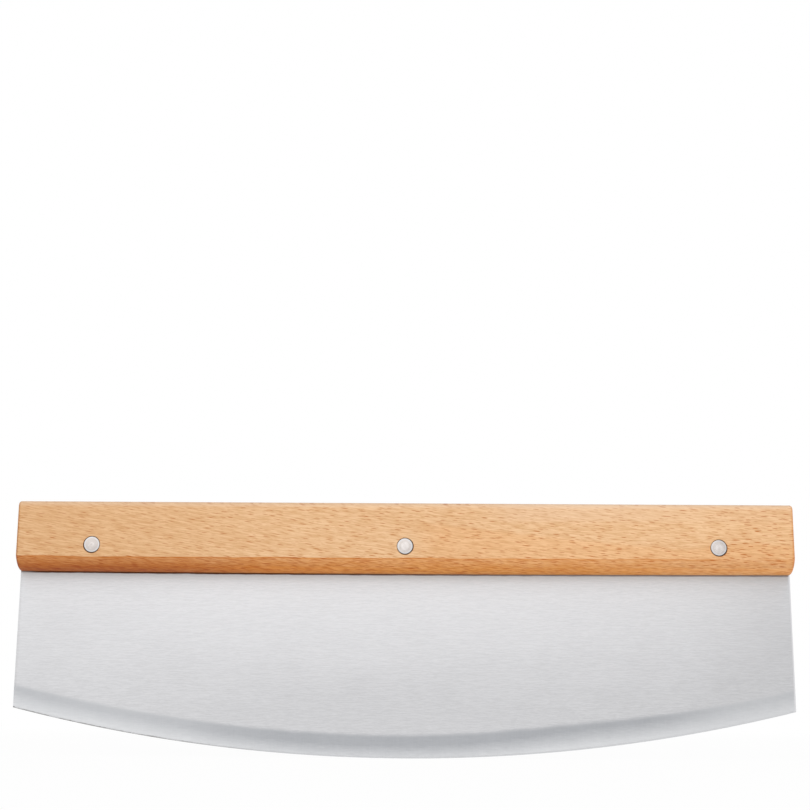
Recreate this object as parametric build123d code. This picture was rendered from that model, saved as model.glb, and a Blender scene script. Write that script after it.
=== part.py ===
from build123d import *
import math
import os

# Rocking pizza knife: a sheet steel blade with a curved edge, held by its tang in the saw
# kerf of a beech handle, with three two-piece cutler's rivets through wood and steel.
# Millimetres. X runs along the knife, Y through its thickness with the front at -Y, Z is up.
# The origin is the lowest point of the cutting edge, at the middle of the knife.

# Blade
blade_length = 350.0
blade_thickness = 1.5
blade_drop = 81.4  # edge to handle, at the middle
edge_radius = 735.0  # the rocking curve
tang_depth = 20.6  # part of the blade inside the handle, at the middle
grind_height = 9.8  # band ground hollow along the edge
grind_wheel_radius = 88.0
heel_height = 0.7  # final sharpening facet
heel_thickness = 0.5
edge_thickness = 0.1
side_bevel_width = 1.1  # belt-eased short ends of the sheet
side_bevel_depth = 0.3

# Handle
handle_overhang = 0.5  # past each end of the blade
handle_thickness = 20.0
handle_height = 31.6
belly_drop = 6.55  # the rounded underside, from the lower arris of the sides to its middle
underside_camber = 0.45  # the sanded underside rises by this much from its middle to each end
top_round = 2.2
end_round = 1.3
kerf_clearance = 0.08  # on each face of the blade
kerf_end_gap = 0.5  # above the tang

# Rivets
rivet_end_inset = 34.2  # axis of the outer rivets from the end of the handle
rivet_rise = 11.95  # axis above the underside
rivet_head_diameter = 7.2
rivet_head_crown = 0.16
rivet_rim_bevel = 0.3
rivet_head_depth = 1.4  # seat of the head below the wood
rivet_head_inset = 0.04  # crown of the head below the wood
rivet_head_clearance = 0.15
barrel_diameter = 5.0
barrel_clearance = 0.06
barrel_stop_gap = 3.5  # barrel end to the other head's seat
barrel_lead = 0.35
shank_diameter = 3.2
shank_clearance = 0.02
shank_tip_gap = 2.0
shank_lead = 0.5
bore_floor = 1.0  # metal left between bore and head seat
blade_hole_clearance = 0.12

# One overrun serves all cuts
overrun = 5.0

# Places that follow from the sizes
half_blade = blade_thickness / 2
half_handle = handle_thickness / 2
handle_length = blade_length + 2 * handle_overhang
handle_bottom = blade_drop
handle_top = handle_bottom + handle_height
tang_top = handle_bottom + tang_depth
half_kerf = half_blade + kerf_clearance
kerf_top = tang_top + kerf_end_gap
rivet_z = handle_bottom + rivet_rise
camber_radius = (handle_length / 2) ** 2 / (2 * underside_camber)
seat_y = half_handle - rivet_head_depth
crown_y = half_handle - rivet_head_inset
rivet_x = handle_length / 2 - rivet_end_inset
rivet_places = {"left": -rivet_x, "middle": 0, "right": rivet_x}


def across_axis(x):
    """Line along Y through the rivet position at x."""
    return Axis((x, 0, rivet_z), (0, 1, 0))


def rivet_plane(x):
    """Plane through a rivet's axis, where local X is the radius and local Y is the knife's Y."""
    return Plane(origin=(x, 0, rivet_z), x_dir=(1, 0, 0), z_dir=(0, 0, 1))


def cross_hole(x, radius, half_length):
    """Cylinder along Y, centred on the knife's middle plane."""
    plane = Plane(origin=(x, 0, rivet_z), x_dir=(1, 0, 0), z_dir=(0, 1, 0))
    return plane * Cylinder(radius, 2 * half_length)


def handle_section():
    """Section of the bar at its middle: round below and taller than needed above."""
    arris = handle_bottom + belly_drop
    top = handle_top + overrun
    belly = ThreePointArc((-half_handle, arris), (0, handle_bottom), (half_handle, arris))
    upper = Polyline(
        (half_handle, arris), (half_handle, top), (-half_handle, top), (-half_handle, arris)
    )
    return Plane.YZ * make_face([belly, upper])


def handle_bar():
    """The section turned about the far centre of the underside's camber, cut to length and height."""
    pivot = Axis((0, 0, handle_bottom + camber_radius), (0, 1, 0))
    reach = math.degrees(math.atan((handle_length / 2 + overrun) / camber_radius))
    bar = revolve(handle_section().rotate(pivot, -reach), pivot, revolution_arc=2 * reach)
    room = Box(handle_length, 2 * handle_thickness, 2 * handle_height)
    return bar & Pos(0, 0, handle_top - handle_height) * room


def make_handle():
    """Beech bar with rounded edges, a saw kerf for the tang, and stepped holes for the rivets."""
    bar = handle_bar()
    top_edges = bar.edges().filter_by(Axis.X).group_by(Axis.Z)[-1]
    bar = fillet(top_edges, top_round)
    end_faces = bar.faces().filter_by(Axis.X).sort_by(Axis.X)
    end_edges = end_faces[0].edges() + end_faces[-1].edges()
    bar = fillet(end_edges, end_round)

    kerf_height = kerf_top - handle_bottom + overrun
    kerf = Pos(0, 0, kerf_top - kerf_height / 2) * Box(
        handle_length + 2 * overrun, 2 * half_kerf, kerf_height
    )
    bar -= kerf

    head_pocket = rivet_head_depth + overrun
    for x in rivet_places.values():
        bar -= cross_hole(x, barrel_diameter / 2 + barrel_clearance, half_handle + overrun)
        pocket = cross_hole(x, rivet_head_diameter / 2 + rivet_head_clearance, head_pocket / 2)
        bar -= Pos(0, -seat_y - head_pocket / 2, 0) * pocket
        bar -= Pos(0, seat_y + head_pocket / 2, 0) * pocket
    return bar


def blade_wall():
    """Section of the blade at its middle, from the hollow-ground edge up past the tang."""
    half_edge = edge_thickness / 2
    half_heel = heel_thickness / 2
    top = tang_top + overrun
    tip = Line((-half_edge, 0), (half_edge, 0))
    right_facet = Line((half_edge, 0), (half_heel, heel_height))
    right_hollow = RadiusArc(
        (half_heel, heel_height), (half_blade, grind_height), grind_wheel_radius
    )
    flats = Polyline(
        (half_blade, grind_height), (half_blade, top), (-half_blade, top), (-half_blade, grind_height)
    )
    left_hollow = RadiusArc(
        (-half_blade, grind_height), (-half_heel, heel_height), grind_wheel_radius
    )
    left_facet = Line((-half_heel, heel_height), (-half_edge, 0))
    return Plane.YZ * make_face([tip, right_facet, right_hollow, flats, left_hollow, left_facet])


def blade_plan():
    """The sheet seen from above, with its short ends eased on both faces."""
    half_length = blade_length / 2
    shoulder = half_length - side_bevel_width
    end_y = half_blade - side_bevel_depth
    outline = Polyline(
        (half_length, -end_y),
        (half_length, end_y),
        (shoulder, half_blade),
        (-shoulder, half_blade),
        (-half_length, end_y),
        (-half_length, -end_y),
        (-shoulder, -half_blade),
        (shoulder, -half_blade),
        close=True,
    )
    return make_face(outline)


def make_blade():
    """The wall turned about the centre of the rocking curve, cut to the sheet's outline."""
    pivot = Axis((0, 0, edge_radius), (0, 1, 0))
    reach = math.degrees(math.atan((blade_length / 2 + overrun) / (edge_radius - tang_top)))
    wall = revolve(blade_wall().rotate(pivot, -reach), pivot, revolution_arc=2 * reach)
    blade = wall & extrude(blade_plan(), amount=tang_top)
    for x in rivet_places.values():
        blade -= cross_hole(x, barrel_diameter / 2 + blade_hole_clearance, half_blade + overrun)
    return blade


def rivet_head():
    """Domed head with a bevelled rim on the back side: its outline from the axis to the seat."""
    radius = rivet_head_diameter / 2
    dome_reach = radius - rivet_rim_bevel
    dome_radius = (dome_reach**2 + rivet_head_crown**2) / (2 * rivet_head_crown)
    rim_y = crown_y - rivet_head_crown
    dome = RadiusArc((0, crown_y), (dome_reach, rim_y), dome_radius)
    rim = Polyline((dome_reach, rim_y), (radius, rim_y - rivet_rim_bevel), (radius, seat_y))
    return [dome, rim]


def make_rivet_pin(x):
    """Back half of a rivet: a head with a solid shank that is pressed into the barrel."""
    radius = shank_diameter / 2 - shank_clearance
    tip = -seat_y + bore_floor + shank_tip_gap
    shank = Polyline(
        (rivet_head_diameter / 2, seat_y),
        (radius, seat_y),
        (radius, tip + shank_lead),
        (radius - shank_lead / 2, tip),
        (0, tip),
        (0, crown_y),
    )
    profile = make_face(rivet_head() + [shank])
    return revolve(rivet_plane(x) * profile, across_axis(x))


def make_rivet_sleeve(x):
    """Front half of a rivet: a head with a hollow barrel that passes through the blade."""
    outer = barrel_diameter / 2
    bore = shank_diameter / 2
    mouth = -seat_y + barrel_stop_gap
    floor = seat_y - bore_floor
    barrel = Polyline(
        (rivet_head_diameter / 2, seat_y),
        (outer, seat_y),
        (outer, mouth),
        (bore + barrel_lead, mouth),
        (bore, mouth + barrel_lead),
        (bore, floor),
        (0, floor),
        (0, crown_y),
    )
    profile = make_face(rivet_head() + [barrel])
    back_facing = revolve(rivet_plane(x) * profile, across_axis(x))
    return back_facing.rotate(Axis((x, 0, rivet_z), (0, 0, 1)), 180)


os.makedirs("parts", exist_ok=True)
pieces = {"handle": make_handle(), "blade": make_blade()}
for place, x in rivet_places.items():
    pieces["rivet_sleeve_" + place] = make_rivet_sleeve(x)
    pieces["rivet_pin_" + place] = make_rivet_pin(x)
for name, piece in pieces.items():
    export_step(piece, "parts/" + name + ".step")
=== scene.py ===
"""A rocking pizza knife: a beech bar handle, a hollow-ground blade and three cutler's rivets.
Metres. X runs along the knife, Y from its front to its back, and Z up from the edge."""

import math

import bmesh
import bpy
import numpy as np
from bpy.props import FloatProperty, FloatVectorProperty, PointerProperty
from mathutils import Matrix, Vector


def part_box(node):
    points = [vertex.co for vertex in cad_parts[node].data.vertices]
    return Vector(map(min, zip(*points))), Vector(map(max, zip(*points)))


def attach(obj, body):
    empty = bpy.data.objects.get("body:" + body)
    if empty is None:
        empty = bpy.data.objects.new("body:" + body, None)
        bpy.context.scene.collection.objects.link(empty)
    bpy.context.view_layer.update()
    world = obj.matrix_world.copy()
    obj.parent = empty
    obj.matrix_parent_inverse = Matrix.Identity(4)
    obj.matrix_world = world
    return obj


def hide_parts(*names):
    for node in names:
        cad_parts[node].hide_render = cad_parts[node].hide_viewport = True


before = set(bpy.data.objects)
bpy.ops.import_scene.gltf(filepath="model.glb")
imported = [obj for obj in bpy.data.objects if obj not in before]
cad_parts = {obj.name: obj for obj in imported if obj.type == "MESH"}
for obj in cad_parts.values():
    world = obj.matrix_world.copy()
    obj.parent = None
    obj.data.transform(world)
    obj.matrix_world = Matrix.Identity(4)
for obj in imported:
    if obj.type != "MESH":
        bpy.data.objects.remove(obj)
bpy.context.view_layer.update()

bl_info = {
    "name": "Rocking Pizza Knife",
    "version": (1, 0, 0),
    "blender": (4, 5, 0),
    "location": "3D View > Sidebar > Knife",
    "description": "Builds a rocking pizza knife round its construction model",
    "category": "Add Mesh",
}

MM = 0.001
ONE_BODY = "root"
PLACES = ("left", "middle", "right")

HANDLE_LOW, HANDLE_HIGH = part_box("handle")
BLADE_LOW, BLADE_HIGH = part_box("blade")
SLEEVE_LOW, SLEEVE_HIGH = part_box("rivet_sleeve_right")
PIN_LOW, PIN_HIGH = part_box("rivet_pin_right")
RIVET_X = (SLEEVE_LOW.x + SLEEVE_HIGH.x) / 2
RIVET_Z = (SLEEVE_LOW.z + SLEEVE_HIGH.z) / 2
RIVET_PLACES = (-RIVET_X, 0.0, RIVET_X)

# A square block of cells gives way to each rivet's hole
BLOCK_HALF = 4.6 * MM
BLOCK_STEPS = 16
BLOCK_Z = np.linspace(RIVET_Z - BLOCK_HALF, RIVET_Z + BLOCK_HALF, BLOCK_STEPS + 1)

# Fineness of the surfaces
HANDLE_SPACING = 6 * MM
HANDLE_END_STEPS = 8
MOUTH_STEPS = 4
BELLY_STEPS = 12
CREASE_STEPS = 4
SIDE_STEPS = 4
ARC_STEPS = 9
TOP_STEPS = 5
KERF_TOP_STEPS = 3
BLADE_SPACING = 3 * MM
FACET_STEPS = 4
BAND_STEPS = 34
SHEET_STEPS = 12
TANG_STEPS = 2
RIVET_STEPS = 96
DOME_STEPS = 75
RIM_STEPS = 6
MERGE_DISTANCE = 1e-7
LEAST_EDGE = 1e-8

# Traces of hand work; each wave of the crease has a share, a pitch and a shift
CREASE_WAVES = ((0.55, 5.4 * MM, 0.0), (0.45, 9.1 * MM, 1.3))
LEAST_CREASE = 0.05 * MM
DWELL_X = 72 * MM
DWELL_REACH = 42 * MM
BAND_MARGIN = 1.4 * MM
RIM_EASE = 0.35

# Slope and bow of the grain, lean of the rays, and turn of the cells that hold them
GRAIN_SLOPE = 0.115
GRAIN_BOW = 0.11
RAY_LEAN = math.radians(-38)
CELL_TURN = 0.5

FLOOR_HALF = 4.0
WHITE = (1.0, 1.0, 1.0, 1.0)


def length(name, description, millimetres):
    """A length property whose default is given in millimetres."""
    return FloatProperty(
        name=name, description=description, default=millimetres * MM, unit="LENGTH", precision=5
    )


def number(name, description, default, subtype, **limits):
    """A number property: an angle in radians, a lamp's power in watts, or a share."""
    return FloatProperty(
        name=name, description=description, default=default, subtype=subtype, **limits
    )


def colour(name, description, red, green, blue):
    """A colour property whose default is given as it looks on screen, from 0 to 255."""
    screen = np.array([red, green, blue]) / 255
    linear = np.where(screen <= 0.04045, screen / 12.92, ((screen + 0.055) / 1.055) ** 2.4)
    return FloatVectorProperty(
        name=name, description=description, default=linear.tolist(), min=0, max=1, subtype="COLOR"
    )


class KnifeHandleSizes(bpy.types.PropertyGroup):
    """Sizes of the beech bar that its box in the frame doesn't give."""

    belly_drop: length("Belly drop", "Height of the rounded underside", 6.55)
    underside_camber: length("Camber", "Rise of the underside from its middle to each end", 0.45)
    belly_crease: length("Crease", "Rounding of the edge between side and underside", 0.35)
    belly_ease: length("Eased crease", "Added to that rounding at the right end", 0.6)
    crease_waver: length("Waver", "How far the hand-sanded crease strays", 0.2)
    crease_sag: length("Sag", "How much lower the crease lies at the left end", 0.22)
    top_round: length("Top rounding", "Radius along the two upper edges", 2.2)
    end_round: length("End rounding", "Radius round both ends", 1.3)
    kerf_width: length("Kerf width", "Width of the saw kerf that takes the tang", 1.66)
    kerf_depth: length("Kerf depth", "Depth of the kerf from the middle of the underside", 21.1)
    kerf_mouth: length("Kerf mouth", "Rounding of the kerf's two lower edges", 0.3)
    pocket_rim: length("Pocket rim", "Worn edge round each rivet pocket", 0.12)


class KnifeBladeSizes(bpy.types.PropertyGroup):
    """Sizes of the steel sheet that its box in the frame doesn't give."""

    edge_radius: length("Edge radius", "Radius of the rocking curve", 735)
    grind_height: length("Grind height", "Height of the hollow-ground band", 9.8)
    grind_dwell: length("Grind dwell", "Extra height where the grinder dwelt", 1.4)
    grind_lift: length("Grind lift", "Height lost where the grinder lifted", 0.6)
    grind_radius: length("Wheel radius", "Radius of the wheel that ground the band", 88)
    grind_shoulder: length("Shoulder", "Softness of the upper line of the grind", 0.9)
    heel_height: length("Facet height", "Height of the sharpened facet", 0.7)
    heel_thickness: length("Facet thickness", "Thickness above the facet", 0.5)
    edge_thickness: length("Edge thickness", "Thickness left at the very edge", 0.1)
    side_bevel_width: length("Side bevel width", "Width of the eased short ends", 1.1)
    side_bevel_depth: length("Side bevel depth", "Depth of the eased short ends", 0.3)


class KnifeRivetSizes(bpy.types.PropertyGroup):
    """Sizes of the two-piece rivets that their boxes in the frame don't give."""

    crown: length("Crown", "Height of the domed head", 0.16)
    rim_bevel: length("Rim bevel", "Bevel round the head", 0.3)
    head_depth: length("Head depth", "Depth of the pocket that seats the head", 1.4)
    head_clearance: length("Head clearance", "Gap round the head", 0.15)
    barrel_diameter: length("Barrel", "Outer diameter of the hollow barrel", 5)
    barrel_clearance: length("Barrel clearance", "Gap round the barrel in the wood", 0.06)
    barrel_lead: length("Barrel lead-in", "Bevel at the mouth of the barrel", 0.35)
    blade_clearance: length("Blade clearance", "Gap round the barrel in the steel", 0.12)
    bore_diameter: length("Bore", "Inner diameter of the barrel", 3.2)
    bore_floor: length("Bore floor", "Metal left under the bore", 1)
    shank_clearance: length("Shank clearance", "Gap round the solid shank", 0.02)
    shank_lead: length("Shank lead-in", "Bevel at the tip of the shank", 0.5)
    ring_pitch: length("Ring pitch", "Spacing of the turning marks on the heads", 0.62)
    ring_depth: length("Ring depth", "Depth of the turning marks on the heads", 0.006)


class KnifeFinish(bpy.types.PropertyGroup):
    """Colours of the wood, the steel and the floor."""

    wood_pale: colour("Pale wood", "Early wood of the beech", 236, 197, 154)
    wood_deep: colour("Deep wood", "Late wood of the beech", 215, 167, 119)
    wood_fleck: colour("Rays", "Ray ends and pores of the beech", 182, 98, 10)
    # Painted shade towards the left end, and a little darker at the right end of the side
    wood_end_darkening: colour("Ripe tint", "Riper tone towards the ends", 248, 243, 236)
    # Painted sheen: paler wood along the top and high on the side at the right
    wood_top_sheen: colour("Handled wood", "Pale wood high up, where it is held", 239, 211, 184)
    # Painted shade: a darker, warmer underside; also warmer grain low on the right of the side
    wood_warm_shade: colour("Warm tint", "Warmer underside and lower part of the side", 252, 208, 135)
    wood_shade: colour("Underside shade", "Deeper tone of the underside at the left", 216, 179, 138)
    wood_glow: colour("Glow", "Light thrown back by the steel, added next to it", 141, 89, 15)
    wood_end: colour("End tint", "Deeper tone of the sawn ends", 226, 196, 164)
    # Painted shadow in the kerf's gap and round the rivet heads
    wood_gap_shadow: colour("Stain", "Dark stain in the rivet pockets and at the kerf", 104, 64, 40)
    steel: colour("Steel", "Brushed stainless sheet", 234, 234, 236)
    # Painted shade: the sheet darker towards the edge and at both ends
    steel_shaded: colour("Dull steel", "Sheet where it is duller", 217, 217, 219)
    # Painted shadow on the steel just under the handle
    steel_handle_shadow: colour("Soiled steel", "Sheet just under the wood", 150, 146, 142)
    # Painted shadow: a dark line where the steel enters the kerf
    joint_shadow: colour("Residue", "Dark line where the wood meets the steel", 90, 54, 34)
    # The band's darker upper part: partly its own grind finish, partly painted reflection
    steel_grind_and_reflection: colour("Ground steel", "Upper part of the hollow-ground band", 176, 178, 182)
    steel_edge: colour("Edge steel", "Lower part of the hollow-ground band", 220, 221, 223)
    # Painted highlight on the eased right end of the sheet
    steel_end_highlight: colour("End steel", "Bare eased end of the sheet at the right", 228, 228, 230)
    # A fine dark line painted along the edge facet, darker towards the left
    steel_edge_line: colour("Worn edge", "Fine dark line along the edge at the left", 132, 130, 128)
    # Rivet heads: fine turning rings, a painted highlight ring, a painted rim reflection and
    # painted shade on the left rivet
    rivet_pale: colour("Pale rivet", "Turned rivet heads, lighter rings", 230, 224, 221)
    rivet_warm: colour("Warm rivet", "Turned rivet heads, darker rings", 199, 191, 186)
    rivet_rim_reflection: colour("Rivet rim", "Bevel round the rivet heads", 209, 208, 209)
    floor: colour("Floor", "Pale studio floor", 250, 250, 250)


class KnifeStudio(bpy.types.PropertyGroup):
    """Camera and light."""

    lens: length("Lens", "Focal length on a 36 mm sensor", 62.97)
    camera_right: length("Camera right", "Camera to the right of the knife's middle", 2.51)
    camera_back: length("Camera distance", "Camera in front of the blade", 647.8)
    camera_up: length("Camera height", "Camera above the floor", 26)
    pitch: number("Pitch", "Camera tilt upwards", 0.2044, "ANGLE")
    yaw: number("Yaw", "Camera turn to the left", 0.00454, "ANGLE")
    roll: number("Roll", "Camera lean", 0.00621, "ANGLE")
    key: number("Key light", "Power of the large softbox", 4.6, "POWER")
    sheen: number("Sheen light", "Power of the softbox that the steel mirrors", 3.0, "POWER")
    side: number("Side light", "Power of the low softbox", 10, "POWER")
    ambient: number("Ambient", "Light from all round", 0.52, "FACTOR", min=0, max=1)
    floor_white: number("Floor white", "White in the floor as seen", 0.96, "FACTOR", min=0, max=1)


class Value:
    """One output socket of a material's tree; arithmetic on it adds Math nodes."""

    def __init__(self, graph, socket):
        self.graph = graph
        self.socket = socket

    def math(self, operation, *values):
        """A Math node with this value first."""
        inputs = dict(enumerate((self, *values)))
        return self.graph.node("ShaderNodeMath", {"operation": operation}, inputs)

    def __add__(self, other):
        return self.math("ADD", other)

    __radd__ = __add__

    def __sub__(self, other):
        return self.math("SUBTRACT", other)

    def __rsub__(self, other):
        return self.math("MULTIPLY_ADD", -1.0, other)

    def __mul__(self, other):
        return self.math("MULTIPLY", other)

    __rmul__ = __mul__

    def __truediv__(self, other):
        return self.math("DIVIDE", other)


class Graph:
    """The node tree of one material or world."""

    def __init__(self, owner):
        owner.use_nodes = True
        self.tree = owner.node_tree
        self.tree.nodes.clear()

    def node(self, kind, settings=None, inputs=None, output=0):
        """Adds a node: its settings first, then the values or links of its sockets."""
        node = self.tree.nodes.new(kind)
        for name, value in (settings or {}).items():
            setattr(node, name, value)
        for name, value in (inputs or {}).items():
            if isinstance(value, Value):
                self.tree.links.new(value.socket, node.inputs[name])
            else:
                node.inputs[name].default_value = value
        return Value(self, node.outputs[output]) if node.outputs else node

    def split(self, vector):
        """The three parts of a vector."""
        parts = self.node("ShaderNodeSeparateXYZ", inputs={0: vector}).socket.node.outputs
        return [Value(self, part) for part in parts]

    def vector(self, x, y, z):
        """Three values as a vector."""
        return self.node("ShaderNodeCombineXYZ", inputs={0: x, 1: y, 2: z})

    def mix(self, factor, first, second, blend="MIX"):
        """Two colours, mixed or blended by a factor."""
        settings = {"data_type": "RGBA", "blend_type": blend}
        return self.node("ShaderNodeMix", settings, {0: factor, 6: first, 7: second}, output=2)

    def place(self):
        """X, Y and Z of the point that is shaded, in the knife's frame."""
        return self.split(self.node("ShaderNodeTexCoord", output="Object"))

    def attribute(self, name):
        """A number stored with the points of the mesh."""
        return self.node("ShaderNodeAttribute", {"attribute_name": name}, output="Fac")

    def noise(self, x, y, z, detail=2.0, roughness=0.5):
        """Cloudy values from 0 to 1, where each direction is already divided by its grain size."""
        place = self.vector(x, y, z)
        inputs = {"Vector": place, "Scale": 1.0, "Detail": detail, "Roughness": roughness}
        return self.node("ShaderNodeTexNoise", inputs=inputs)

    def ramp(self, value, low, high, start=0.0, end=1.0, shape="SMOOTHSTEP"):
        """A smooth or straight climb: start below low and end above high."""
        inputs = {"Value": value, "From Min": low, "From Max": high, "To Min": start, "To Max": end}
        return self.node("ShaderNodeMapRange", {"interpolation_type": shape}, inputs)

    def mirror_rays(self):
        """1 for rays that the camera, a mirror or glass sends out, and 0 for the others."""
        path = self.node("ShaderNodeLightPath").socket.node.outputs
        camera, glossy, clear = (
            Value(self, path[f"Is {kind} Ray"]) for kind in ("Camera", "Glossy", "Transmission")
        )
        return camera.math("MAXIMUM", glossy).math("MAXIMUM", clear)

    def bump(self, height, strength, distance):
        """A normal from a height."""
        return self.node(
            "ShaderNodeBump", inputs={"Strength": strength, "Distance": distance, "Height": height}
        )


def new_material(name):
    """An empty material and its graph."""
    material = bpy.data.materials.new(name)
    return material, Graph(material)


def close_surface(graph, settings):
    """Ends a material's graph with one Principled shader."""
    shader = graph.node("ShaderNodeBsdfPrincipled", inputs=settings)
    graph.node("ShaderNodeOutputMaterial", inputs={"Surface": shader})


def rgba(colour_property):
    """A colour property with full alpha."""
    return (*colour_property, 1.0)


def grid_faces(rows, columns, holes=()):
    """Quads of a grid of points numbered row by row, without the cells in holes, which are ranges
    of rows and columns."""
    index = np.arange(rows * columns).reshape(rows, columns)
    corners = (index[:-1, :-1], index[1:, :-1], index[1:, 1:], index[:-1, 1:])
    keep = np.ones((rows - 1, columns - 1), bool)
    for row_start, row_end, column_start, column_end in holes:
        keep[row_start:row_end, column_start:column_end] = False
    return np.stack(corners, axis=-1)[keep]


def make_piece(name, patches, material, nodes, sharp_degrees=20):
    """Joins patches, each a grid of points and the holes in it, into one closed mesh that stands in
    for its nodes. Points that coincide are merged and all faces turned outwards."""
    points = []
    faces = []
    count = 0
    for grid, holes in patches:
        rows, columns = grid.shape[:2]
        points.append(grid.reshape(-1, 3))
        faces.append(grid_faces(rows, columns, holes) + count)
        count += rows * columns
    points = np.concatenate(points).astype(np.float32)
    faces = np.concatenate(faces).astype(np.int32)

    mesh = bpy.data.meshes.new(name)
    mesh.vertices.add(len(points))
    mesh.vertices.foreach_set("co", points.ravel())
    mesh.loops.add(faces.size)
    mesh.loops.foreach_set("vertex_index", faces.ravel())
    mesh.polygons.add(len(faces))
    mesh.polygons.foreach_set("loop_start", np.arange(0, faces.size, 4, dtype=np.int32))
    mesh.update(calc_edges=True)

    shell = bmesh.new()
    shell.from_mesh(mesh)
    bmesh.ops.remove_doubles(shell, verts=shell.verts, dist=MERGE_DISTANCE)
    bmesh.ops.dissolve_degenerate(shell, edges=shell.edges, dist=LEAST_EDGE)
    bmesh.ops.recalc_face_normals(shell, faces=shell.faces)
    open_edges = sum(not edge.is_manifold for edge in shell.edges)
    shell.to_mesh(mesh)
    shell.free()
    if open_edges:
        raise RuntimeError(f"{name} has {open_edges} open edges")
    mesh.shade_smooth()
    mesh.set_sharp_from_angle(angle=math.radians(sharp_degrees))
    mesh.materials.append(material)

    piece = bpy.data.objects.new(name, mesh)
    bpy.context.scene.collection.objects.link(piece)
    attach(piece, ONE_BODY)
    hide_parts(*nodes)
    return piece


def paint(piece, measure, *sizes):
    """Stores a function of the points as an attribute of the function's name, for the material."""
    points = np.empty(len(piece.data.vertices) * 3, np.float32)
    piece.data.vertices.foreach_get("co", points)
    values = measure(points.reshape(-1, 3).astype(float), *sizes)
    layer = piece.data.attributes.new(measure.__name__, "FLOAT", "POINT")
    layer.data.foreach_set("value", values.astype(np.float32))


def spread(*stops_and_counts):
    """Places from one stop to the next: a stop, a count of steps, the next stop and so on."""
    stops = stops_and_counts[0::2]
    counts = stops_and_counts[1::2]
    parts = [np.linspace(a, b, n, endpoint=False) for a, b, n in zip(stops, stops[1:], counts)]
    return np.concatenate(parts + [[stops[-1]]])


def smooth_step(value, low, high):
    """0 below low, 1 above high and 3t^2 - 2t^3 between, where low may be the greater."""
    t = np.clip((value - low) / (high - low), 0, 1)
    return t * t * (3 - 2 * t)


def underside(x, sizes):
    """Height of the handle's underside beside the kerf, lowest in the middle of the knife."""
    return x * x * (sizes.underside_camber / HANDLE_HIGH.x**2) + HANDLE_LOW.z


def crease_rise(x, sizes):
    """Height of the hand-sanded crease above the underside: two slow waves, calmer at the right
    end, and a smooth step down at the left end."""
    waves = sum(part * np.sin(x / pitch + shift) for part, pitch, shift in CREASE_WAVES)
    calm = 1 - 0.7 * smooth_step(x, 90 * MM, 140 * MM)
    sag = sizes.crease_sag * smooth_step(x, -70 * MM, -120 * MM)
    return sizes.belly_drop + sizes.crease_waver * waves * calm - sag


def stations(end_stations, spacing):
    """Places along the knife, with fine even steps across the square block round each rivet, and
    the index at which each block starts. The end stations are the places near the right end, from
    the middle outwards, and the left end mirrors them."""
    places = [-end_stations[::-1]]
    previous = -end_stations[0]
    blocks = []
    count = len(end_stations)
    for x in RIVET_PLACES:
        steps = max(1, round((x - BLOCK_HALF - previous) / spacing))
        gap = np.linspace(previous, x - BLOCK_HALF, steps, endpoint=False)[1:]
        block = np.linspace(x - BLOCK_HALF, x + BLOCK_HALF, BLOCK_STEPS + 1)
        blocks.append(count + len(gap))
        count += len(gap) + len(block)
        places += [gap, block]
        previous = x + BLOCK_HALF
    steps = max(1, round((end_stations[0] - previous) / spacing))
    places += [np.linspace(previous, end_stations[0], steps, endpoint=False)[1:], end_stations]
    return np.concatenate(places), blocks


def block_rim(x, y):
    """The points round a rivet's block on a face at y, and the angle of each from the axis."""
    across = np.linspace(x - BLOCK_HALF, x + BLOCK_HALF, BLOCK_STEPS + 1)
    lower = np.stack([across[:-1], np.full(BLOCK_STEPS, BLOCK_Z[0])], axis=1)
    right = np.stack([np.full(BLOCK_STEPS, across[-1]), BLOCK_Z[:-1]], axis=1)
    upper = np.stack([across[:0:-1], np.full(BLOCK_STEPS, BLOCK_Z[-1])], axis=1)
    left = np.stack([np.full(BLOCK_STEPS, across[0]), BLOCK_Z[:0:-1]], axis=1)
    rim = np.concatenate([lower, right, upper, left, lower[:1]])
    angles = np.arctan2(rim[:, 1] - RIVET_Z, rim[:, 0] - x)
    points = np.stack([rim[:, 0], np.full(len(rim), y), rim[:, 1]], axis=1)
    return points, angles


def drilled(x, rings):
    """A stepped hole along Y from rings of a radius and a y, where None stands for the block."""
    rows = []
    for radius, y in rings:
        points, angles = block_rim(x, y)
        if radius is not None:
            points[:, 0] = x + radius * np.cos(angles)
            points[:, 2] = RIVET_Z + radius * np.sin(angles)
        rows.append(points)
    return np.stack(rows), ()


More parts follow.
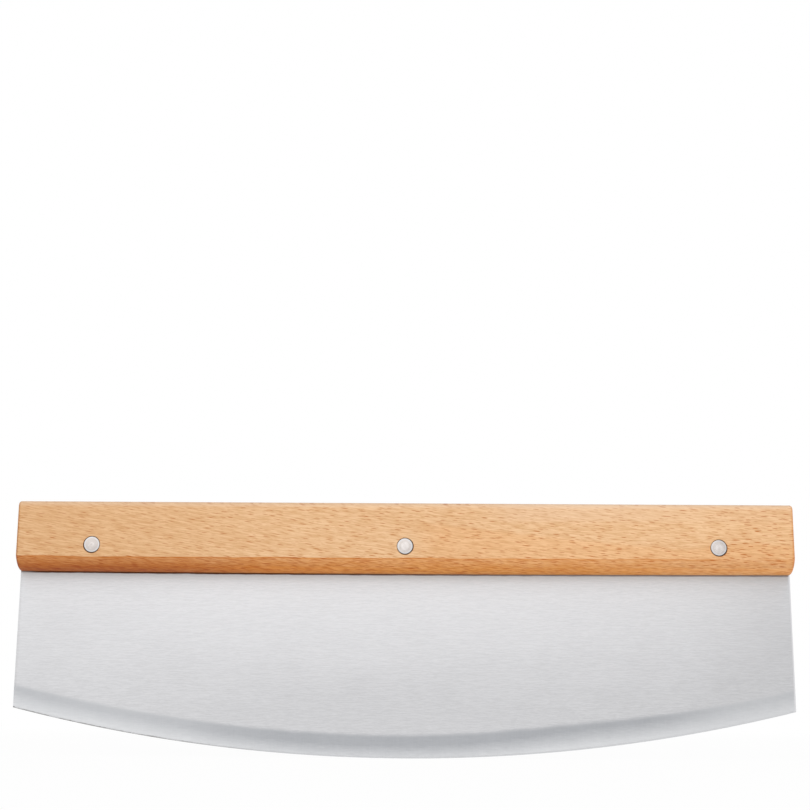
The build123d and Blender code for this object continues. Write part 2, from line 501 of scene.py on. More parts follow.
def handle_half(x, inset, sizes):
    """The right half of the handle's section at each x, from the kerf's mouth to the middle of the
    top. Outer points follow the mouth's quarter circle, the belly's circle, the crease's small
    circle, the flat side, the top's quarter circle and the flat top, all moved inwards by the
    inset. Inner points follow the kerf. The last value is the count of points below the rivets'
    blocks."""
    half = HANDLE_HIGH.y
    top = HANDLE_HIGH.z
    kerf = sizes.kerf_width / 2
    drop = crease_rise(x[:, None], sizes)
    belly = (half**2 + drop**2) / (2 * drop)
    centre = underside(x[:, None], sizes) + np.sqrt(belly**2 - kerf**2)
    inset = inset[:, None]

    radius = belly - inset
    eased = sizes.belly_crease + sizes.belly_ease * smooth_step(x[:, None], 95 * MM, 165 * MM)
    crease = np.maximum(eased - inset, LEAST_CREASE)
    crease_y = half - inset - crease
    crease_z = centre - np.sqrt((radius - crease) ** 2 - crease_y**2)
    start = np.arcsin((kerf + sizes.kerf_mouth) / radius)
    end = np.arctan2(crease_y, centre - crease_z)
    swing = start + (end - start) * np.linspace(0, 1, BELLY_STEPS + 1)
    belly_y = radius * np.sin(swing)
    belly_z = centre - radius * np.cos(swing)

    roll = np.linspace(0, math.pi / 2, MOUTH_STEPS + 1)[:-1]
    mouth_y = kerf + sizes.kerf_mouth * (1 - np.cos(roll)) + np.zeros_like(inset)
    mouth_z = belly_z[:, :1] + sizes.kerf_mouth * (1 - np.sin(roll))
    belly_y = np.concatenate([mouth_y, belly_y], axis=1)
    belly_z = np.concatenate([mouth_z, belly_z], axis=1)

    turn = (end - math.pi / 2) * (1 - np.linspace(0, 1, CREASE_STEPS + 1)[1:])
    round_y = crease_y + crease * np.cos(turn)
    round_z = crease_z + crease * np.sin(turn)

    flat_z = np.concatenate([BLOCK_Z, spread(BLOCK_Z[-1], SIDE_STEPS, top - sizes.top_round)[1:]])
    side_z = np.broadcast_to(flat_z, (len(inset), len(flat_z)))
    side_y = np.broadcast_to(half - inset, side_z.shape)

    arc = np.linspace(0, math.pi / 2, ARC_STEPS + 1)[1:]
    arc_y = half - sizes.top_round + (sizes.top_round - inset) * np.cos(arc)
    arc_z = top - sizes.top_round + (sizes.top_round - inset) * np.sin(arc)

    flat_y = spread(half - sizes.top_round, TOP_STEPS, 0)[1:]
    top_y = np.broadcast_to(flat_y, (len(inset), TOP_STEPS))
    top_z = np.broadcast_to(top - inset, top_y.shape)
    outer = np.stack(
        [
            np.concatenate([belly_y, round_y, side_y, arc_y, top_y], axis=1),
            np.concatenate([belly_z, round_z, side_z, arc_z, top_z], axis=1),
        ],
        axis=2,
    )

    below = belly_y.shape[1] + round_y.shape[1]
    above = outer.shape[1] - below - BLOCK_STEPS - 1
    middle = (half**2 + sizes.belly_drop**2) / (2 * sizes.belly_drop)
    kerf_top = HANDLE_LOW.z + math.sqrt(middle**2 - kerf**2) - middle + sizes.kerf_depth
    rise = np.linspace(0, 1, below + 1)[:-1]
    lower_z = belly_z[:, :1] + (BLOCK_Z[0] - belly_z[:, :1]) * rise
    wall_z = np.broadcast_to(BLOCK_Z, (len(inset), len(BLOCK_Z)))
    upper_z = spread(BLOCK_Z[-1], above - KERF_TOP_STEPS, kerf_top, KERF_TOP_STEPS, kerf_top)[1:]
    upper_z = np.broadcast_to(upper_z, (len(inset), above))
    inner_z = np.concatenate([lower_z, wall_z, upper_z], axis=1)
    inner_y = np.full(inner_z.shape, kerf)
    inner_y[:, -KERF_TOP_STEPS - 1 :] = np.linspace(kerf, 0, KERF_TOP_STEPS + 1)
    inner = np.stack([inner_y, inner_z], axis=2)
    return outer, inner, below


def whole_section(half):
    """A half section joined to its mirror image."""
    mirrored = half[:, -2::-1] * (-1, 1)
    return np.concatenate([half, mirrored], axis=1)


def carried(section, x):
    """A section for each place along X, as a grid of points in space."""
    along = np.broadcast_to(x[:, None], section.shape[:2])
    return np.stack([along, section[:, :, 0], section[:, :, 1]], axis=2)


def handle_patches(sizes, rivets):
    """The handle's surface: its section carried along X, drawn in along a quarter circle at both
    ends, the kerf carried inside it, flat bands between the two, and six stepped holes."""
    end = HANDLE_HIGH.x
    turn = np.linspace(math.pi / 2, 0, HANDLE_END_STEPS + 1)
    x, blocks = stations(end - sizes.end_round * (1 - np.cos(turn)), HANDLE_SPACING)
    inset = np.zeros(len(x))
    inset[-len(turn) :] = sizes.end_round * (1 - np.sin(turn))
    inset[: len(turn)] = inset[-len(turn) :][::-1]

    outer, inner, first = handle_half(x, inset, sizes)
    outer = carried(whole_section(outer), x)
    inner = carried(whole_section(inner), x)
    last = outer.shape[1] - 1
    holes = []
    for block in blocks:
        holes.append((block, block + BLOCK_STEPS, first, first + BLOCK_STEPS))
        holes.append((block, block + BLOCK_STEPS, last - first - BLOCK_STEPS, last - first))
    patches = [(outer, holes), (inner, holes)]
    for row in (0, -1):
        patches.append((np.stack([outer[row], inner[row]]), ()))

    half = HANDLE_HIGH.y
    kerf = sizes.kerf_width / 2
    seat = half - rivets.head_depth
    pocket = (SLEEVE_HIGH.x - SLEEVE_LOW.x) / 2 + rivets.head_clearance
    rim = sizes.pocket_rim
    eased = rim * RIM_EASE
    barrel = rivets.barrel_diameter / 2 + rivets.barrel_clearance
    for place in RIVET_PLACES:
        for side in (-1, 1):
            rings = [
                (None, side * half),
                (pocket + rim, side * half),
                (pocket + eased, side * (half - eased)),
                (pocket, side * (half - rim)),
                (pocket, side * seat),
                (barrel, side * seat),
                (barrel, side * kerf),
                (None, side * kerf),
            ]
            patches.append(drilled(place, rings))
    return patches


def crease_share(points, sizes):
    """For points of the handle: height above the underside as a share of the crease's."""
    x, _, z = points.T
    return (z - underside(x, sizes)) / crease_rise(x, sizes)


def grind_line(x, sizes):
    """Height of the grind's upper line above the edge: even but for a bell where the grinder dwelt
    and a smooth step down at the right end, where it lifted."""
    bell = np.exp(-(((x - DWELL_X) / DWELL_REACH) ** 2))
    lift = smooth_step(x, 118 * MM, 172 * MM)
    return sizes.grind_height + sizes.grind_dwell * bell - sizes.grind_lift * lift


def height_above_edge(x, z, sizes):
    """Distance to the edge's circle, along its radius."""
    down = sizes.edge_radius + BLADE_LOW.z - z
    return sizes.edge_radius - np.sqrt(x**2 + down**2)


def grind_share(points, sizes):
    """For points of the blade: height above the edge as a share of the grind's upper line."""
    x, _, z = points.T
    return height_above_edge(x, z, sizes) / grind_line(x, sizes)


def grind_pressure(points):
    """For points of the blade: how hard the band was ground, as smooth steps towards both ends."""
    x = points[:, 0]
    left = 0.6 + 0.4 * smooth_step(x, -125 * MM, -40 * MM)
    right = 0.45 + 0.5 * smooth_step(x, 150 * MM, 105 * MM)
    return left * (right + 0.05 * smooth_step(x, 100 * MM, 60 * MM))


def blade_half_thickness(above_edge, x, sizes):
    """Half the sheet's thickness at a height above the edge: a straight facet from the edge to the
    heel, a shallow hollow arc from there to the grind's upper line, and an even sheet above it. The
    last two meet in a soft minimum, and the short ends are eased."""
    flat = BLADE_HIGH.y
    heel = sizes.heel_thickness / 2
    edge = sizes.edge_thickness / 2
    rise = grind_line(x, sizes) - sizes.heel_height
    climb = (above_edge - sizes.heel_height) / rise
    chord_square = rise**2 + (flat - heel) ** 2
    hollow = chord_square / (8 * sizes.grind_radius)
    ground = heel + (flat - heel) * climb - 4 * hollow * climb * (1 - climb)
    soft = sizes.grind_shoulder * (flat - heel) / rise
    gap = np.clip(0.5 + 0.5 * (flat - ground) / soft, 0, 1)
    body = flat + (ground - flat) * gap - soft * gap * (1 - gap) * 0.5
    facet = edge + (heel - edge) * above_edge / sizes.heel_height
    thickness = np.where(above_edge < sizes.heel_height, facet, body)
    shoulder = BLADE_HIGH.x - sizes.side_bevel_width
    eased = np.clip((np.abs(x) - shoulder) / sizes.side_bevel_width, 0, 1)
    return np.minimum(thickness, flat - sizes.side_bevel_depth * eased)


def blade_patches(sizes, rivets):
    """The blade's surface: columns of points from the edge to the top of the tang at each place
    along X. In the ground band the rows are circles about the centre of the rocking curve, above it
    they straighten until they are level in the tang."""
    end = BLADE_HIGH.x
    bottom = BLADE_LOW.z
    radius = sizes.edge_radius
    end_places = end - sizes.side_bevel_width * np.array([1.0, 0.5, 0.0])
    x, blocks = stations(end_places, BLADE_SPACING)
    x = x[:, None]

    band = sizes.grind_height + sizes.grind_dwell + BAND_MARGIN
    above = spread(0, FACET_STEPS, sizes.heel_height, BAND_STEPS, band)
    curved = bottom + radius - np.sqrt((radius - above) ** 2 - x**2)
    climb = np.linspace(0, 1, SHEET_STEPS + 1)[1:]
    straight = climb * (BLOCK_Z[0] - curved[:, -1:]) + curved[:, -1:]
    level = spread(BLOCK_Z[0], BLOCK_STEPS, BLOCK_Z[-1], TANG_STEPS, BLADE_HIGH.z)[1:]
    level = np.broadcast_to(level, (len(x), len(level)))
    z = np.concatenate([curved, straight, level], axis=1)
    first = curved.shape[1] + straight.shape[1] - 1

    above_edge = height_above_edge(x, z, sizes)
    along = np.broadcast_to(x, z.shape)
    half = blade_half_thickness(above_edge, along, sizes)
    front = np.stack([along, -half, z], axis=2)
    back = np.stack([along, half, z], axis=2)

    holes = [(block, block + BLOCK_STEPS, first, first + BLOCK_STEPS) for block in blocks]
    patches = [(front, holes), (back, holes)]
    for row in (0, -1):
        patches.append((np.stack([front[row], back[row]]), ()))
    for column in (0, -1):
        patches.append((np.stack([front[:, column], back[:, column]]), ()))

    flat = BLADE_HIGH.y
    bore = rivets.barrel_diameter / 2 + rivets.blade_clearance
    for place in RIVET_PLACES:
        patches.append(drilled(place, [(None, -flat), (bore, -flat), (bore, flat), (None, flat)]))
    return patches


def turned(x, profile, front):
    """A profile of radii and distances from the middle plane, turned about a rivet's axis."""
    radius, distance = np.array(profile).T
    angle = np.linspace(0, 2 * math.pi, RIVET_STEPS + 1)[:, None]
    side = -1 if front else 1
    return np.stack(
        [
            x + radius * np.cos(angle),
            np.broadcast_to(side * distance, (len(angle), len(distance))),
            RIVET_Z + radius * np.sin(angle),
        ],
        axis=2,
    ), ()


def rivet_head(sizes):
    """From the axis to the seat: a dome that is part of a sphere, with turning marks as a cosine of
    the radius that fade at the middle and at the rim, then a rounded rim and the head's side."""
    radius = (SLEEVE_HIGH.x - SLEEVE_LOW.x) / 2
    crown = PIN_HIGH.y
    reach = radius - sizes.rim_bevel
    sphere = (reach**2 + sizes.crown**2) / (2 * sizes.crown)
    out = np.linspace(0, reach, DOME_STEPS + 1)
    dome = crown - sphere + np.sqrt(sphere**2 - out**2)
    fade = np.clip((reach - out) / sizes.ring_pitch, 0, 1) * np.clip(out / sizes.ring_pitch, 0, 1)
    marks = sizes.ring_depth * fade * (np.cos(2 * math.pi * out / sizes.ring_pitch) - 1) / 2
    profile = np.stack([out, dome + marks], axis=1).tolist()
    rim = crown - sizes.crown
    for turn in np.linspace(0, math.pi / 2, RIM_STEPS + 1)[1:]:
        outwards = sizes.rim_bevel * math.sin(turn)
        down = sizes.rim_bevel * (1 - math.cos(turn))
        profile.append([reach + outwards, rim - down])
    profile.append([radius, HANDLE_HIGH.y - sizes.head_depth])
    return profile


def sleeve_profile(sizes):
    """The head, then the hollow barrel with its bevelled mouth, its bore and the bore's floor."""
    outer = sizes.barrel_diameter / 2
    bore = sizes.bore_diameter / 2
    seat = HANDLE_HIGH.y - sizes.head_depth
    mouth = -SLEEVE_HIGH.y
    floor = seat - sizes.bore_floor
    return rivet_head(sizes) + [
        [outer, seat],
        [outer, mouth],
        [bore + sizes.barrel_lead, mouth],
        [bore, mouth + sizes.barrel_lead],
        [bore, floor],
        [0, floor],
    ]


def pin_profile(sizes):
    """The head, then the solid shank with its bevelled tip."""
    shank = sizes.bore_diameter / 2 - sizes.shank_clearance
    seat = HANDLE_HIGH.y - sizes.head_depth
    tip = PIN_LOW.y
    return rivet_head(sizes) + [
        [shank, seat],
        [shank, tip + sizes.shank_lead],
        [shank - sizes.shank_lead / 2, tip],
        [0, tip],
    ]


def past_rivet(x):
    """X measured from the nearest rivet's axis."""
    return x.math("WRAP", RIVET_X / 2, -RIVET_X / 2)


def hypotenuse(a, b):
    """Length of the longest side of a right triangle."""
    return (a * a + b * b).math("SQRT")


def dashes(graph, long, wide, shift):
    """Ribbons of random size and depth, one in each Voronoi cell of a turned grid."""
    step, row = long + shift, wide + shift
    turned_step = step * math.cos(CELL_TURN) - row * math.sin(CELL_TURN)
    turned_row = step * math.sin(CELL_TURN) + row * math.cos(CELL_TURN)
    place = graph.vector(turned_step, turned_row, 0.0)
    inputs = {"Vector": place, "Scale": 1.0, "Randomness": 0.8}
    cell = graph.node("ShaderNodeTexVoronoi", {"voronoi_dimensions": "2D"}, inputs)
    random = graph.split(Value(graph, cell.socket.node.outputs["Color"]))
    reach = random[0] * 0.08 + 0.13
    return graph.ramp(cell / reach, 1.0, 0.4) * (random[1] * 0.8 + 0.2)


def tint(graph, mask, wood, colour_property):
    """The wood times a colour, where the mask says."""
    return graph.mix(mask, wood, graph.mix(1.0, wood, rgba(colour_property), "MULTIPLY"))


def beech(finish):
    """Beech as a solid texture, sawn at a slant to its rays. Growth bands, mottle and fine fibres
    run along the bar and slope a little down to the right. The rays are thin ribbons that lean
    across the bar, so they show as short dashes on every side and as fine lines on the ends.
    Painted light and shade follow, each over its own zone: a sheen high up, shade underneath and
    towards the left end, light next to the steel and shadow in the kerf and the rivet pockets; the
    sawn ends take a deeper tone of their own."""
    material, graph = new_material("beech")
    x, y, z = graph.place()
    waver = graph.noise(x / 0.045, y / 0.02, z / 0.015, detail=1.0)
    level = z + x * GRAIN_SLOPE - x * x * GRAIN_BOW + (waver - 0.5) * 0.0008
    across = level * math.cos(RAY_LEAN) + y * math.sin(RAY_LEAN)
    along_ray = y * math.cos(RAY_LEAN) - level * math.sin(RAY_LEAN)

    broad = graph.noise(x / 0.09, along_ray / 0.007, across / 0.02)
    mottle = graph.noise(x / 0.013, along_ray / 0.006, across / 0.0022)
    bands = graph.noise(x / 0.04, along_ray / 0.0016, across / 0.004, detail=3.0)
    fibres = graph.noise(x / 0.006, along_ray / 0.0008, across / 0.00036, detail=0.0)
    tone = broad * 0.09 + mottle * 0.03 + bands * 0.07 + fibres * 0.36
    tone = graph.ramp(tone, 0.125, 0.425)
    wood = graph.mix(tone, rgba(finish.wood_pale), rgba(finish.wood_deep))

    # Rays, pores and the cut grain of the underside
    crease = graph.attribute("crease_share")
    below = graph.ramp(crease, 1.01, 0.965)
    rays = dashes(graph, x / 0.0112, across / 0.00085, 0.0)
    rays += dashes(graph, x / 0.0085, across / 0.00077, 7.3) * 0.75
    pores = dashes(graph, x / 0.004, across / 0.00055, 3.1)
    plain = graph.ramp(x, -0.13, 0.01, 0.72, 1.02) + graph.ramp(x, 0.13, 0.15, 0.0, 0.6)
    cut = graph.noise(x / 0.004, y / 0.004, level / 0.00036, detail=0.0)
    cut = graph.ramp(cut, 0.5, 0.3) * below * graph.ramp(x, 0.0, 0.12, 0.42, 0.27)
    wood = graph.mix(rays * plain + pores * 0.3 + cut, wood, rgba(finish.wood_fleck))

    # Painted shade towards the left end and a little darker at the right end of the side; paler
    # high up as a painted sheen
    side = 1 - below
    top = HANDLE_HIGH.z
    # Painted shade towards the left end, away from the light; a little darker at the right end of
    # the side
    end_darkening = graph.ramp(x, -0.03, -0.15) + graph.ramp(x, 0.11, 0.16, 0.0, 0.42) * side
    wood = tint(graph, end_darkening, wood, finish.wood_end_darkening)
    # Painted sheen along the top and high on the side at the right
    upper = graph.ramp(z, top - 0.01, top - 0.006) * graph.ramp(x, 0.03, 0.055)
    top_sheen = graph.ramp(z, top - 0.003, top - 0.001, 0.0, 0.35)
    top_sheen += upper * graph.ramp(x, 0.07, 0.15, 0.22, 0.08)
    wood = graph.mix(top_sheen, wood, rgba(finish.wood_top_sheen))

    # Painted shade underneath, darker and warmer near the crease and towards the blade, and warmer
    # grain low on the right part of the side
    deeper = graph.ramp(crease, 0.95, 0.0)
    # Painted shade along the crease
    crease_shade = below * graph.ramp(crease, 0.86, 0.95, 0.0, 0.2) * graph.ramp(x, 0.1, 0.16, 1.0, 0.3)
    warmth_and_shade = (below * 0.65 + crease_shade) * graph.ramp(x, 0.06, 0.15, 1.0, 0.7)
    warmth_and_shade += deeper * graph.ramp(x, 0.06, 0.15, 0.42, 0.2)
    warmth_and_shade += below * ((fibres - 0.5) * 0.3 + (bands - 0.5) * 0.4 - 0.08)
    heart = level - graph.ramp(x, 0.12, 0.16, 0.0, 0.006)
    heart = graph.ramp(heart, top - 0.007, top - 0.0095, 0.0, 0.19)
    warmth_and_shade += heart * graph.ramp(x, 0.0, 0.02) * side
    wood = tint(graph, warmth_and_shade, wood, finish.wood_warm_shade)

    # Shaded underneath at the left, lit next to the steel, deeper at the sawn ends
    shade = (below * 0.38 + deeper * 0.62) * graph.ramp(x, 0.02, -0.14) + crease_shade
    wood = tint(graph, shade, wood, finish.wood_shade)
    glow = graph.ramp(x, -0.11, -0.06, 0.0, 0.32) + graph.ramp(x, -0.05, 0.0, 0.0, -0.2)
    glow = (glow + graph.ramp(x, 0.06, 0.15, 0.0, 0.38)) * graph.ramp(crease, 0.5, 0.25)
    wood = graph.mix(glow, wood, rgba(finish.wood_glow), "ADD")
    from_end = HANDLE_HIGH.x - (x.math("ABSOLUTE") + (mottle - 0.5) * 0.0008)
    wood = tint(graph, graph.ramp(from_end, 0.0016, 0.0001), wood, finish.wood_end)

    # Painted shadow in the gaps at the kerf and round the rivet pockets: heavier at the left along
    # the kerf, and below and to one side of each rivet
    from_blade = y.math("ABSOLUTE") + (fibres - 0.5) * 0.0006
    kerf = graph.ramp(from_blade, 0.002, 0.0011) * graph.ramp(crease, 0.34, 0.18)
    dark = graph.ramp(x, -0.11, 0.02, 0.9, 0.4) + graph.ramp(x, 0.08, 0.115, 0.0, 0.12)
    near = past_rivet(x) + (mottle - 0.5) * 0.0005
    up = z - (RIVET_Z - 0.0001)
    slant = graph.ramp(x, -0.1, -0.03, 0.8, -1.1) + graph.ramp(x, 0.03, 0.1, 0.0, 1.1)
    pocket = graph.ramp(hypotenuse(near, up), 0.00402, 0.00378)
    pocket *= graph.ramp(up + near * slant, 0.003, -0.0025, 0.0, 0.9)
    gap_shadow = (kerf * dark).math("MAXIMUM", pocket)
    wood = tint(graph, gap_shadow, wood, finish.wood_gap_shadow)

    height = fibres * 0.4 + bands * 0.2 - rays * 0.15
    settings = {
        "Base Color": wood,
        "Roughness": graph.ramp(fibres + rays * 0.5, 0.2, 1.0, 0.42, 0.55),
        "Normal": graph.bump(height, 0.3, 0.00005),
        "IOR": 1.33,
    }
    close_surface(graph, settings)
    return material


def brushed_steel(finish, handle_sizes):
    """Stainless sheet: short lines along X that waver a little, painted darker towards the edge and
    at both ends as shade, with painted shadow just under the wood and a dark painted shadow line
    where it enters the kerf. The ground band is darkest below its upper line, by how hard it was
    ground, partly from its own finish and partly as painted reflection; it is pale at the edge,
    with faint marks across it, a fine dark line painted along the edge facet and a painted
    highlight on the eased right end."""
    material, graph = new_material("brushed_steel")
    x, y, z = graph.place()
    waver = graph.noise(x / 0.012, y / 0.01, z / 0.006)
    level = z + (waver - 0.5) * 0.00018
    coarse = graph.noise(x / 0.0055, y / 0.002, level / 0.0004, roughness=0.6)
    fine = graph.noise(x / 0.0022, y / 0.002, level / 0.00021, roughness=0.7)
    clouds = graph.noise(x / 0.03, y / 0.05, z / 0.016, detail=3.0)
    lines = coarse * 0.48 + fine * 0.52

    # Painted shade: darker towards the edge, at both ends and low in the middle, with a little
    # random mottle
    sheet_shade = graph.ramp(z, 0.08, 0.008)
    sheet_shade += graph.ramp(x, -0.08, -0.178, 0.0, 0.3) * graph.ramp(z, 0.035, 0.06)
    sheet_shade += graph.ramp(x, 0.12, 0.182, 0.0, 0.65)
    sheet_shade += (clouds - 0.5) * graph.ramp(z, 0.07, 0.02, 0.25, 0.8)
    sheet_shade += graph.ramp(x * x, 0.01, 0.001, 0.0, 0.25) * graph.ramp(z, 0.045, 0.015)
    sheet = graph.mix(sheet_shade, rgba(finish.steel), rgba(finish.steel_shaded))
    grain = graph.ramp(lines, 0.32, 0.68, graph.ramp(z, 0.02, 0.075, 0.83, 0.865), 1.0)
    sheet = graph.mix(1.0, sheet, graph.vector(grain, grain, grain), "MULTIPLY")
    below_wood = underside(x, handle_sizes) - z + (coarse - 0.5) * 0.0006
    # Painted shadow on the steel just under the handle
    handle_shadow = graph.ramp(below_wood, 0.005, 0.0, 0.0, 0.25)
    handle_shadow += graph.ramp(below_wood, 0.011, 0.0, 0.0, 0.15)
    handle_shadow *= graph.ramp(x, 0.02, 0.15, 1.0, 0.7)
    sheet = graph.mix(handle_shadow, sheet, rgba(finish.steel_handle_shadow))
    # Painted shadow: a dark line where the steel enters the kerf
    joint_shadow = graph.ramp(below_wood, 0.00078, 0.0003) * graph.ramp(x, -0.1745, -0.166, 0.6, 1.0)
    joint_shadow *= graph.ramp(x, -0.07, 0.1, 1.0, 0.58)
    sheet = graph.mix(joint_shadow, sheet, rgba(finish.joint_shadow))

    share = graph.attribute("grind_share")
    pressure = graph.attribute("grind_pressure")
    swell = graph.noise(x / 0.009, 0.0, share * 1.2)
    share += (swell - 0.5) * 0.09 + (lines - 0.5) * 0.16
    marks = graph.noise(x / 0.0007, y / 0.002, share * 1.5)
    start = graph.ramp(x, -0.12, -0.04, 0.1, -0.09) + graph.ramp(x, 0.0, 0.1, 0.0, 0.25)
    climb = graph.ramp(share, start, start + 0.64, shape="LINEAR")
    # The band's darkening is partly its own grind finish and partly painted reflection
    deep = climb * pressure * 0.92 + (marks - 0.5) * 0.12
    deep += (clouds - 0.5) * 0.2 + (lines - 0.5) * 0.3
    ground = graph.mix(deep, rgba(finish.steel_edge), rgba(finish.steel_grind_and_reflection))
    # A fine dark line painted along the edge facet, darker towards the left
    facet = graph.ramp(share, 0.045, 0.015) * graph.ramp(x, -0.03, -0.13, 0.0, 0.8)
    ground = graph.mix(facet, ground, rgba(finish.steel_edge_line))
    steel = graph.mix(graph.ramp(share, 1.13, 0.88), sheet, ground)
    # Painted highlight on the eased right end of the sheet
    end_highlight = graph.ramp(x, BLADE_HIGH.x - 0.0009, BLADE_HIGH.x - 0.0004)
    steel = graph.mix(end_highlight, steel, rgba(finish.steel_end_highlight))
    settings = {
        "Base Color": steel,
        "Metallic": 1.0,
        "Roughness": graph.ramp(lines, 0.25, 0.75, 0.42, 0.5),
        "Anisotropic": 0.85,
        "Anisotropic Rotation": 0.25,
        "Normal": graph.bump(lines, 0.5, 0.00002),
    }
    close_surface(graph, settings)
    return material


def turned_steel(finish):
    """Turned rivet steel: one broad pale ring about each rivet's axis, painted as the dome's
    highlight, and many fine turning rings, warmer between them, a cool rim painted as the bevel's
    reflection, a faint bloom, and painted shade that makes the left rivet darker."""
    material, graph = new_material("turned_steel")
    x, y, z = graph.place()
    radius = hypotenuse(past_rivet(x), z - RIVET_Z)
    # Painted highlight: a broad pale ring on each dome
    broad = (radius - 0.00105) * (2 * math.pi / 0.003)
    broad = broad.math("COSINE") * 0.5 + 0.5
    rings = graph.noise(radius / 0.0003, x / 0.05, 0.0, roughness=0.6)
    bloom = graph.noise(x / 0.0016, y / 0.002, z / 0.0016, detail=3.0)
    tone = broad * 0.45 + (rings - 0.5) * 1.8 + (bloom - 0.5) * 1.6
    # Painted shade: the left rivet darker, the others lighter
    tone += graph.ramp(x, -0.09, 0.0, -0.15, 0.2)
    steel = graph.mix(tone, rgba(finish.rivet_warm), rgba(finish.rivet_pale))
    # Painted reflection on the bevelled rim
    steel = graph.mix(graph.ramp(radius, 0.0027, 0.0031), steel, rgba(finish.rivet_rim_reflection))
    settings = {
        "Base Color": steel,
        "Metallic": 1.0,
        "Roughness": graph.ramp(bloom, 0.3, 0.7, 0.3, 0.4),
        "Normal": graph.bump(rings, 0.4, 0.00002),
    }
    close_surface(graph, settings)
    return material


def floor_material(finish, studio):
    """A pale matt floor. Camera, mirror and glass rays see it mostly as plain white, which still
    shows the knife's shadow, and wholly so further out."""
    material, graph = new_material("studio_floor")
    seen = graph.mirror_rays()
    x, y, _ = graph.place()
    far = graph.ramp(x * x + y * y, 0.02, 0.5, studio.floor_white, 1.0)
    shade = graph.mix(seen, rgba(finish.floor), WHITE)
    paper = graph.node("ShaderNodeBsdfDiffuse", inputs={"Color": shade})
    white = graph.node("ShaderNodeEmission", inputs={"Color": WHITE, "Strength": 1.0})
    surface = graph.node("ShaderNodeMixShader", inputs={0: seen * far, 1: paper, 2: white})
    graph.node("ShaderNodeOutputMaterial", inputs={"Surface": surface})
    return material


def studio_world(studio):
    """Even light from all round, which camera, mirror and glass rays see as plain white."""
    world = bpy.data.worlds.new("studio")
    graph = Graph(world)
    strength = graph.mirror_rays() * (1 - studio.ambient) + studio.ambient
    light = graph.node("ShaderNodeBackground", inputs={"Color": WHITE, "Strength": strength})
    graph.node("ShaderNodeOutputWorld", inputs={"Surface": light})
    bpy.context.scene.world = world


def softbox(name, place, aim, width, height, power):
    """A rectangular area light at a place, turned towards a point."""
    lamp = bpy.data.lights.new(name, "AREA")
    lamp.shape = "RECTANGLE"
    lamp.size = width
    lamp.size_y = height
    lamp.energy = power
    box = bpy.data.objects.new(name, lamp)
    bpy.context.scene.collection.objects.link(box)
    box.location = place
    direction = np.array(aim) - np.array(place)
    turn = math.atan2(direction[0], -direction[1])
    tilt = math.atan2(math.hypot(direction[0], direction[1]), -direction[2])
    box.rotation_euler = (tilt, 0, turn + math.pi)
    return box


class KNIFE_OT_handle(bpy.types.Operator):
    """Builds the beech handle with its kerf, its rounded edges and its rivet pockets"""

    bl_idname = "knife.handle"
    bl_label = "Beech handle"

    def execute(self, context):
        scene = context.scene
        patches = handle_patches(scene.knife_handle, scene.knife_rivets)
        material = beech(scene.knife_finish)
        handle = make_piece("beech_handle", patches, material, ["handle"])
        paint(handle, crease_share, scene.knife_handle)
        return {"FINISHED"}


class KNIFE_OT_blade(bpy.types.Operator):
    """Builds the steel blade with its hollow-ground edge, its eased ends and its tang"""

    bl_idname = "knife.blade"
    bl_label = "Steel blade"

    def execute(self, context):
        scene = context.scene
        patches = blade_patches(scene.knife_blade, scene.knife_rivets)
        material = brushed_steel(scene.knife_finish, scene.knife_handle)
        blade = make_piece("steel_blade", patches, material, ["blade"], 9)
        paint(blade, grind_share, scene.knife_blade)
        paint(blade, grind_pressure)
        return {"FINISHED"}


class KNIFE_OT_rivets(bpy.types.Operator):
    """Builds the three rivets, each of a sleeve seen from the front and a pin seen from the back"""

    bl_idname = "knife.rivets"
    bl_label = "Rivets"

    def execute(self, context):
        scene = context.scene
        sizes = scene.knife_rivets
        material = turned_steel(scene.knife_finish)
        for place, x in zip(PLACES, RIVET_PLACES):
            sleeve = [turned(x, sleeve_profile(sizes), True)]
            pin = [turned(x, pin_profile(sizes), False)]
            for name, patches in ((f"sleeve_{place}", sleeve), (f"pin_{place}", pin)):
                make_piece(name, patches, material, [f"rivet_{name}"])
        return {"FINISHED"}


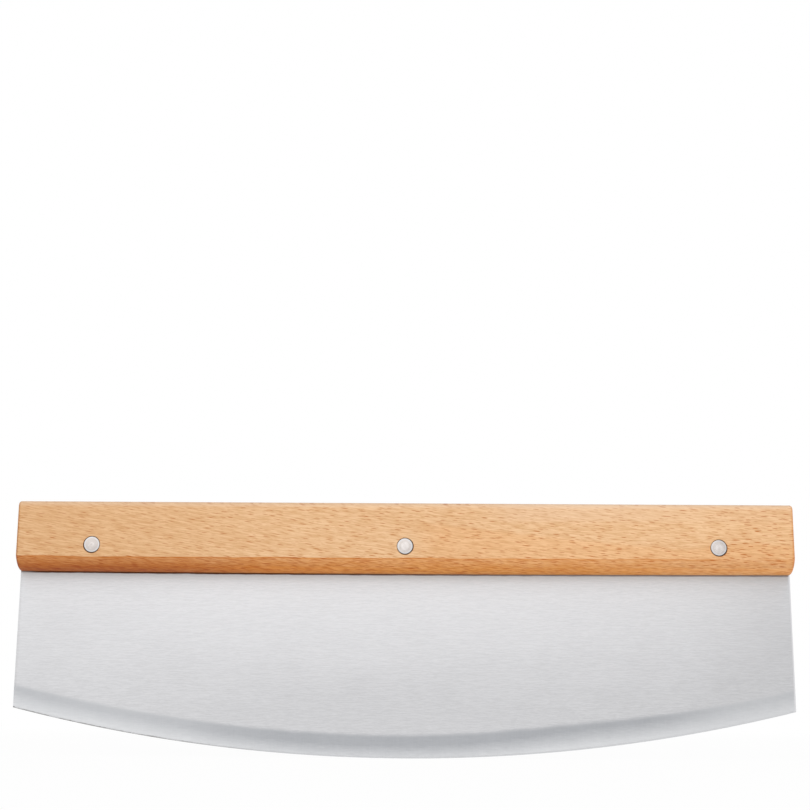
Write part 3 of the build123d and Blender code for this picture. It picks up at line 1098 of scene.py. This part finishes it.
class KNIFE_OT_studio(bpy.types.Operator):
    """Builds the pale floor, the soft lights and the camera"""

    bl_idname = "knife.studio"
    bl_label = "Studio"

    def execute(self, context):
        scene = context.scene
        studio = scene.knife_studio
        far = FLOOR_HALF
        corners = [(-far, -far, 0), (far, -far, 0), (far, far, 0), (-far, far, 0)]
        mesh = bpy.data.meshes.new("studio_floor")
        mesh.from_pydata(corners, [], [(0, 1, 2, 3)])
        mesh.materials.append(floor_material(scene.knife_finish, studio))
        floor = bpy.data.objects.new("studio_floor", mesh)
        scene.collection.objects.link(floor)

        studio_world(studio)
        key = softbox("key_softbox", (-0.5, -1.25, 0.75), (0, 0, 0.06), 1.5, 1.1, studio.key)
        side = softbox("side_softbox", (1.3, -0.85, 0.16), (0.06, 0, 0.08), 0.9, 0.3, studio.side)
        key.visible_glossy = False
        side.visible_glossy = False
        softbox("sheen_softbox", (-0.45, -1.25, 0.7), (0, 0, 0.06), 1.8, 1.2, studio.sheen)

        camera = bpy.data.cameras.new("camera")
        camera.sensor_width = 36
        camera.lens = studio.lens / MM
        camera.clip_start = 0.01
        stand = bpy.data.objects.new("camera", camera)
        scene.collection.objects.link(stand)
        stand.matrix_world = (
            Matrix.Translation((studio.camera_right, -studio.camera_back, studio.camera_up))
            @ Matrix.Rotation(studio.yaw, 4, "Z")
            @ Matrix.Rotation(math.pi / 2 + studio.pitch, 4, "X")
            @ Matrix.Rotation(studio.roll, 4, "Z")
        )
        scene.camera = stand
        scene.view_settings.view_transform = "Standard"
        return {"FINISHED"}


OPERATORS = (KNIFE_OT_handle, KNIFE_OT_blade, KNIFE_OT_rivets, KNIFE_OT_studio)
GROUPS = {
    "knife_handle": KnifeHandleSizes,
    "knife_blade": KnifeBladeSizes,
    "knife_rivets": KnifeRivetSizes,
    "knife_finish": KnifeFinish,
    "knife_studio": KnifeStudio,
}


class KNIFE_PT_sidebar(bpy.types.Panel):
    """Lists the steps that build the knife, and its sizes and colours"""

    bl_label = "Rocking Pizza Knife"
    bl_space_type = "VIEW_3D"
    bl_region_type = "UI"
    bl_category = "Knife"

    def draw(self, context):
        for operator in OPERATORS:
            self.layout.operator(operator.bl_idname)
        for name in GROUPS:
            settings = getattr(context.scene, name)
            box = self.layout.box()
            for key in settings.__annotations__:
                box.prop(settings, key)


CLASSES = (*GROUPS.values(), *OPERATORS, KNIFE_PT_sidebar)


def register():
    for each in CLASSES:
        bpy.utils.register_class(each)
    for name, group in GROUPS.items():
        setattr(bpy.types.Scene, name, PointerProperty(type=group))


def unregister():
    for name in GROUPS:
        delattr(bpy.types.Scene, name)
    for each in reversed(CLASSES):
        bpy.utils.unregister_class(each)


def main():
    register()
    bpy.ops.knife.handle()
    bpy.ops.knife.blade()
    bpy.ops.knife.rivets()
    bpy.ops.knife.studio()


if __name__ == "__main__":
    main()
